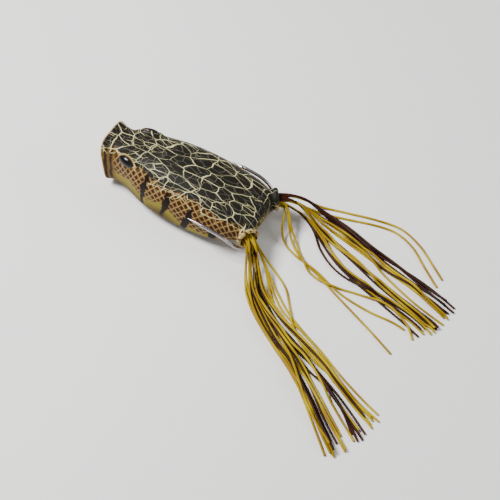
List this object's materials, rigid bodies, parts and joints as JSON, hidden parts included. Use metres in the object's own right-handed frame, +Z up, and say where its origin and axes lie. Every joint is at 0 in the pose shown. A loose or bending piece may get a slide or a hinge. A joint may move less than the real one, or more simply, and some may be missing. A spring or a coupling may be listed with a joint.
{
  "type": "topwater popper",
  "caption": "hollow soft-bodied frog lure with a cupped popping mouth, flank-lying double hook, keel weight and two legs of silicone strands",
  "frame": {"origin": "under the middle of the lure without its strands, on the plane that the keel weight rests on", "axes": "+X towards the nose, +Y the lure's left side, +Z up"},
  "size_m": [0.1467, 0.1031, 0.0232],
  "materials": {
    "soft_body": "soft PVC skin, painted: dark cracked back, scaled orange flanks, pale belly, clear coat",
    "hook_metal": "black nickel on round steel wire, bright highlights",
    "cast_weight": "dull grey cast metal",
    "eye_resin": "glossy black resin",
    "band_rubber": "matte black rubber",
    "yellow_silicone": "translucent yellow silicone strand with a soft sheen",
    "maroon_silicone": "dark maroon silicone strand with a soft sheen"
  },
  "bodies": {
    "hook_and_keel": {"double_hook": "hook_metal", "belly_weight": "cast_weight", "left_eye": "eye_resin", "right_eye": "eye_resin", "skirt_core": "maroon_silicone", "left_skirt_band": "band_rubber", "right_skirt_band": "band_rubber"},
    "soft_body": {"body_shell": "soft_body"},
    "left_leg": {"left_strands_outer": "yellow_silicone", "left_strands_outer_mid": "maroon_silicone", "left_strands_inner_mid": "maroon_silicone", "left_strands_inner": "yellow_silicone"},
    "left_leg_top": {"left_strands_top_outer": "yellow_silicone", "left_strands_top_middle": "yellow_silicone", "left_strands_top_inner": "yellow_silicone"},
    "right_leg": {"right_strands_outer": "yellow_silicone", "right_strands_outer_mid": "yellow_silicone", "right_strands_inner_mid": "maroon_silicone", "right_strands_inner": "yellow_silicone"},
    "right_leg_top": {"right_strands_top_outer": "maroon_silicone", "right_strands_top_middle": "maroon_silicone", "right_strands_top_inner": "maroon_silicone"}
  },
  "joints": [
    {"name": "body_squeeze", "type": "slide", "parent": "hook_and_keel", "child": "soft_body", "axis": [0, 0, -1], "range_m": [0, 0.008], "stiffness_N_per_m": 900, "deforming": ["body_shell"]},
    {"name": "left_leg_swing", "type": "hinge", "parent": "hook_and_keel", "child": "left_leg", "pos_m": [-0.0329, 0.0112, 0.01], "axis": [0, 0, -1], "range_deg": [-5, 30], "stiffness_Nm_per_rad": 0.0002},
    {"name": "left_leg_lift", "type": "hinge", "parent": "left_leg", "child": "left_leg_top", "pos_m": [-0.0329, 0.0112, 0.01], "axis": [0.6, 0.8, 0], "range_deg": [0, 30]},
    {"name": "right_leg_swing", "type": "hinge", "parent": "hook_and_keel", "child": "right_leg", "pos_m": [-0.0329, -0.0112, 0.01], "axis": [0, 0, 1], "range_deg": [-5, 30], "stiffness_Nm_per_rad": 0.0002},
    {"name": "right_leg_lift", "type": "hinge", "parent": "right_leg", "child": "right_leg_top", "pos_m": [-0.0329, -0.0112, 0.01], "axis": [0, 1, 0], "range_deg": [0, 30]}
  ]
}
